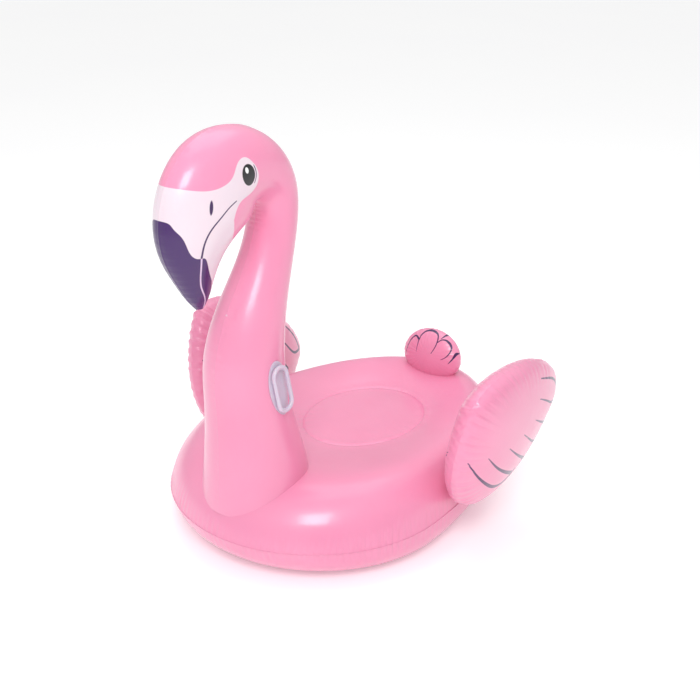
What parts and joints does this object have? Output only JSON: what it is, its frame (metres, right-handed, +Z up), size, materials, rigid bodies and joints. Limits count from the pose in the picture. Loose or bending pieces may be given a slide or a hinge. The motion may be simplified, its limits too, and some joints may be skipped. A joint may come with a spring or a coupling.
{
  "type": "inflatable pool float",
  "caption": "Ride-on inflatable pool float shaped as a long-necked bird, with a recessed seat, wing and tail pillows, folding grab handles and plugged air valves.",
  "frame": {"origin": "on the floor, under the middle of the float's overall box", "axes": "+Z up, the bird looks along -Y, its left side is +X"},
  "size_m": [1.373, 1.4945, 1.4256],
  "materials": {
    "pink_film": "soft pearly gloss vinyl film, slightly wavy at the welds",
    "neck_film": "soft pearly gloss vinyl film, printed white face, dark purple beak and a plain round eye",
    "handle_vinyl": "translucent moulded vinyl, milky lilac",
    "valve_vinyl": "clear soft moulded vinyl"
  },
  "bodies": {
    "root": {"body_bottom_panel": "pink_film", "body_top_panel": "pink_film", "body_valve_flange": "valve_vinyl", "left_handle_base": "handle_vinyl", "left_wing_inner_panel": "pink_film", "left_wing_outer_panel": "pink_film", "left_wing_valve_flange": "valve_vinyl", "neck_left_panel": "neck_film", "neck_right_panel": "neck_film", "neck_valve_flange": "valve_vinyl", "right_handle_base": "handle_vinyl", "right_wing_inner_panel": "pink_film", "right_wing_outer_panel": "pink_film", "right_wing_valve_flange": "valve_vinyl", "seat_floor_panel": "pink_film", "seat_top_panel": "pink_film", "seat_valve_flange": "valve_vinyl", "tail_back_panel": "pink_film", "tail_front_panel": "pink_film", "tail_valve_flange": "valve_vinyl"},
    "body_stem": {"body_valve_stem": "valve_vinyl"},
    "body_flap": {"body_valve_flap": "valve_vinyl"},
    "body_stopper": {"body_valve_stopper": "valve_vinyl"},
    "seat_stem": {"seat_valve_stem": "valve_vinyl"},
    "seat_flap": {"seat_valve_flap": "valve_vinyl"},
    "seat_stopper": {"seat_valve_stopper": "valve_vinyl"},
    "neck_stem": {"neck_valve_stem": "valve_vinyl"},
    "neck_flap": {"neck_valve_flap": "valve_vinyl"},
    "neck_stopper": {"neck_valve_stopper": "valve_vinyl"},
    "left_wing_stem": {"left_wing_valve_stem": "valve_vinyl"},
    "left_wing_flap": {"left_wing_valve_flap": "valve_vinyl"},
    "left_wing_stopper": {"left_wing_valve_stopper": "valve_vinyl"},
    "right_wing_stem": {"right_wing_valve_stem": "valve_vinyl"},
    "right_wing_flap": {"right_wing_valve_flap": "valve_vinyl"},
    "right_wing_stopper": {"right_wing_valve_stopper": "valve_vinyl"},
    "tail_stem": {"tail_valve_stem": "valve_vinyl"},
    "tail_flap": {"tail_valve_flap": "valve_vinyl"},
    "tail_stopper": {"tail_valve_stopper": "valve_vinyl"},
    "left_grip": {"left_handle_grip": "handle_vinyl"},
    "right_grip": {"right_handle_grip": "handle_vinyl"}
  },
  "joints": [
    {"name": "body_valve_pull", "type": "slide", "parent": "root", "child": "body_stem", "axis": [0, 0.88, 0.475], "range_m": [0, 0.014]},
    {"name": "body_stopper_swing", "type": "hinge", "parent": "body_stem", "child": "body_stopper", "pos_m": [0.012, 0.72743, 0.21585], "axis": [0, 0.475, -0.88], "range_deg": [0, 150]},
    {"name": "body_flap_open", "type": "hinge", "parent": "body_stem", "child": "body_flap", "pos_m": [0.0055, 0.70913, 0.20597], "axis": [0, -0.475, 0.88], "range_deg": [0, 40], "stiffness_Nm_per_rad": 0.0005},
    {"name": "seat_valve_pull", "type": "slide", "parent": "root", "child": "seat_stem", "axis": [0, 0, -1], "range_m": [0, 0.014]},
    {"name": "seat_stopper_swing", "type": "hinge", "parent": "seat_stem", "child": "seat_stopper", "pos_m": [0.012, 0.133, 0.1061], "axis": [0, -1, 0], "range_deg": [0, 150]},
    {"name": "seat_flap_open", "type": "hinge", "parent": "seat_stem", "child": "seat_flap", "pos_m": [0.0055, 0.133, 0.1269], "axis": [0, 1, 0], "range_deg": [0, 40], "stiffness_Nm_per_rad": 0.0005},
    {"name": "neck_valve_pull", "type": "slide", "parent": "root", "child": "neck_stem", "axis": [-0.6, 0.8, 0], "range_m": [0, 0.014]},
    {"name": "neck_stopper_swing", "type": "hinge", "parent": "neck_stem", "child": "neck_stopper", "pos_m": [-0.07194, -0.29768, 0.45], "axis": [0, 0, -1], "range_deg": [0, 150]},
    {"name": "neck_flap_open", "type": "hinge", "parent": "neck_stem", "child": "neck_flap", "pos_m": [-0.06466, -0.31822, 0.45], "axis": [0, 0, 1], "range_deg": [0, 40], "stiffness_Nm_per_rad": 0.0005},
    {"name": "left_wing_valve_pull", "type": "slide", "parent": "root", "child": "left_wing_stem", "axis": [-0.9699, -0.0695, 0.2334], "range_m": [0, 0.014]},
    {"name": "left_wing_stopper_swing", "type": "hinge", "parent": "left_wing_stem", "child": "left_wing_stopper", "pos_m": [0.4821, 0.13882, 0.42834], "axis": [-0.2104, -0.244, -0.9467], "range_deg": [0, 150]},
    {"name": "left_wing_flap_open", "type": "hinge", "parent": "left_wing_stem", "child": "left_wing_flap", "pos_m": [0.50307, 0.13398, 0.42493], "axis": [0.2104, 0.244, 0.9467], "range_deg": [0, 40], "stiffness_Nm_per_rad": 0.0005},
    {"name": "right_wing_valve_pull", "type": "slide", "parent": "root", "child": "right_wing_stem", "axis": [0.9884, 0.0743, 0.1323], "range_m": [0, 0.014]},
    {"name": "right_wing_stopper_swing", "type": "hinge", "parent": "right_wing_stem", "child": "right_wing_stopper", "pos_m": [-0.47738, 0.15815, 0.3156], "axis": [-0.1514, 0.5348, 0.8313], "range_deg": [0, 150]},
    {"name": "right_wing_flap_open", "type": "hinge", "parent": "right_wing_stem", "child": "right_wing_flap", "pos_m": [-0.498, 0.15113, 0.31635], "axis": [0.1514, -0.5348, -0.8313], "range_deg": [0, 40], "stiffness_Nm_per_rad": 0.0005},
    {"name": "tail_valve_pull", "type": "slide", "parent": "root", "child": "tail_stem", "axis": [0, 0.9781, -0.2079], "range_m": [0, 0.014]},
    {"name": "tail_stopper_swing", "type": "hinge", "parent": "tail_stem", "child": "tail_stopper", "pos_m": [-0.012, 0.63455, 0.34273], "axis": [0, 0.2079, 0.9781], "range_deg": [0, 150]},
    {"name": "tail_flap_open", "type": "hinge", "parent": "tail_stem", "child": "tail_flap", "pos_m": [-0.0055, 0.61421, 0.34706], "axis": [0, -0.2079, -0.9781], "range_deg": [0, 40], "stiffness_Nm_per_rad": 0.0005},
    {"name": "left_grip_fold", "type": "hinge", "parent": "root", "child": "left_grip", "pos_m": [0.14313, -0.44466, 0.61563], "axis": [0.0741, 0.1564, -0.9849], "range_deg": [0, 75]},
    {"name": "right_grip_fold", "type": "hinge", "parent": "root", "child": "right_grip", "pos_m": [-0.14313, -0.44466, 0.61563], "axis": [0.0741, -0.1564, 0.9849], "range_deg": [0, 75]}
  ]
}
